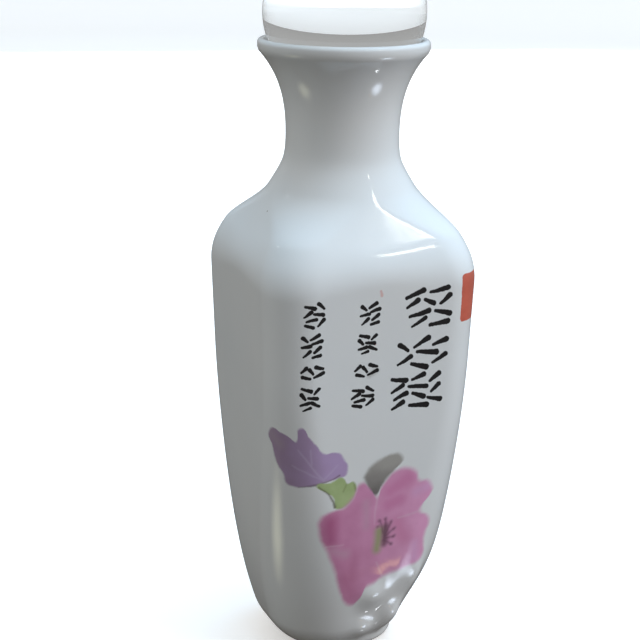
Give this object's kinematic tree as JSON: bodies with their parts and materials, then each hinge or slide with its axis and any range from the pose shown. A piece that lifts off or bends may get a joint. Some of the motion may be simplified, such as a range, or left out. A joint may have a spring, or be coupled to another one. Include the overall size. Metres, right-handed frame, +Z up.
{
  "type": "porcelain perfume bottle",
  "caption": "Four-sided porcelain perfume bottle with sloping shoulder, waisted neck and flared mouth, closed by a clear glass ball.",
  "frame": {"origin": "centre of the foot's underside, on the surface the bottle stands on", "axes": "+Z up along the bottle's axis, the painted front faces -Y, +X to its right"},
  "size_m": [0.042, 0.042, 0.1378],
  "materials": {
    "porcelain": "glossy",
    "clear_glass": "polished"
  },
  "bodies": {
    "root": {"bottle": "porcelain", "ball_stopper": "clear_glass"}
  },
  "joints": []
}
